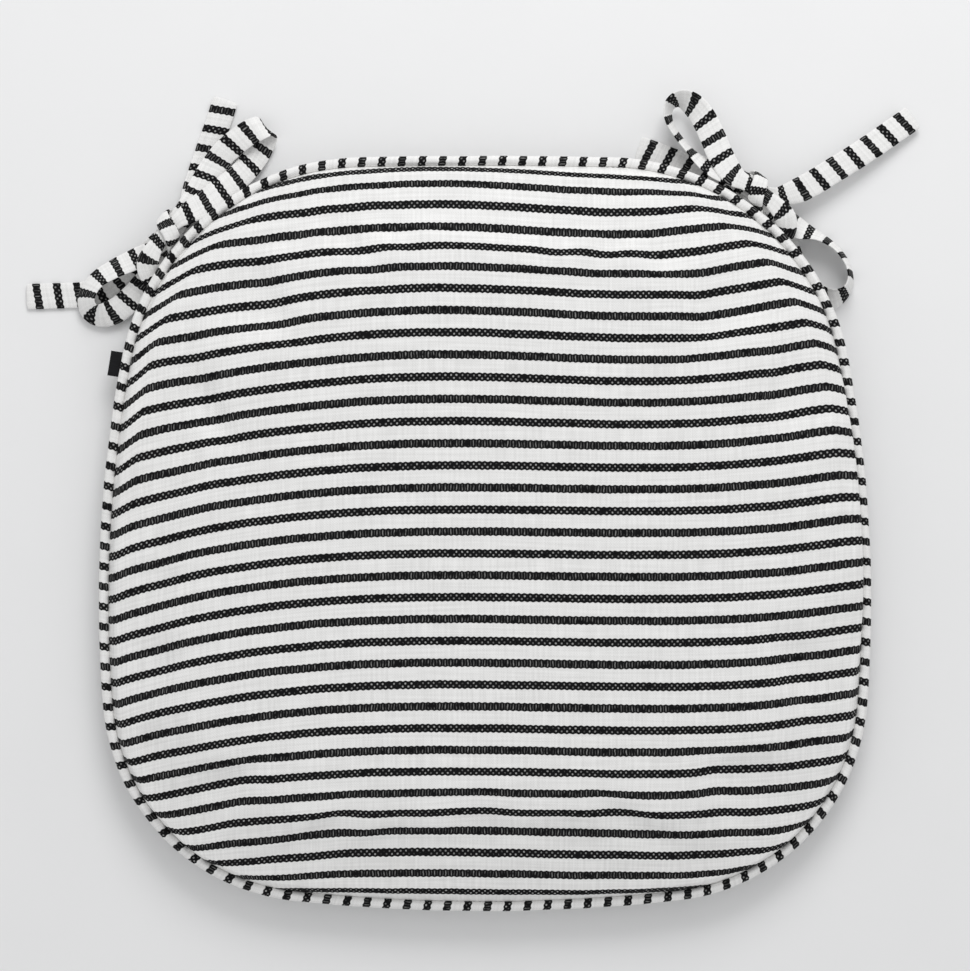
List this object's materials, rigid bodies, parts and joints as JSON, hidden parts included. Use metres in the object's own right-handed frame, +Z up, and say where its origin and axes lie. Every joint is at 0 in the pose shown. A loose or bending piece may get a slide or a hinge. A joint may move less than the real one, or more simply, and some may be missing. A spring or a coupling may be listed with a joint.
{
  "type": "chair seat pad",
  "caption": "Horseshoe-shaped striped cotton chair seat pad with foam filling, piped edge, tied bows at the back corners and a zip in the underside.",
  "frame": {"origin": "middle of the flat underside, under the middle of the pad", "axes": "+Z up out of the seat, +Y towards the back edge that carries the ties, +X to the sitter's left-to-right across the pad"},
  "size_m": [0.4691, 0.4263, 0.0382],
  "materials": {
    "cover_fabric": "off-white cotton with woven black stripes",
    "piping_fabric": "striped cotton folded round a cord",
    "tie_fabric": "striped cotton strap, stitched along both edges",
    "label_fabric": "black woven tape, blank",
    "filler_cord": "twisted cotton",
    "foam": "open-cell polyurethane foam",
    "wadding": "polyester wadding",
    "zip_tape": "woven polyester tape",
    "zip_coil": "nylon coil",
    "zip_metal": "off-white enamelled zip metal"
  },
  "bodies": {
    "root": {"top_panel": "cover_fabric", "bottom_panel": "cover_fabric", "bottom_back_panel": "cover_fabric", "piping_cover": "piping_fabric", "piping_cord": "filler_cord", "foam_core": "foam", "wadding_top": "wadding", "wadding_bottom": "wadding", "side_label": "label_fabric", "zip_tape_front": "zip_tape", "zip_tape_back": "zip_tape", "zip_coil_front": "zip_coil", "zip_coil_back": "zip_coil", "zip_top_stop": "zip_metal", "zip_bottom_stop": "zip_metal"},
    "left_bow": {"left_tie_upper": "tie_fabric", "left_tie_lower": "tie_fabric"},
    "right_bow": {"right_tie_upper": "tie_fabric", "right_tie_lower": "tie_fabric"},
    "slider": {"zip_slider": "zip_metal"},
    "pull": {"zip_pull": "zip_metal"}
  },
  "joints": [
    {"name": "left_bow_swing", "type": "hinge", "parent": "root", "child": "left_bow", "pos_m": [-0.15603, 0.15135, 0.018], "axis": [0.6691, 0.7431, 0], "range_deg": [-2, 85]},
    {"name": "right_bow_swing", "type": "hinge", "parent": "root", "child": "right_bow", "pos_m": [0.13483, 0.1701, 0.018], "axis": [0.8191, -0.5736, 0], "range_deg": [-2, 85]},
    {"name": "zip_slide", "type": "slide", "parent": "root", "child": "slider", "axis": [1, 0, 0], "range_m": [-0.226, 0]},
    {"name": "pull_flip", "type": "hinge", "parent": "slider", "child": "pull", "pos_m": [0.1135, 0.118, 0.0008], "axis": [0, -1, 0], "range_deg": [0, 170]}
  ]
}
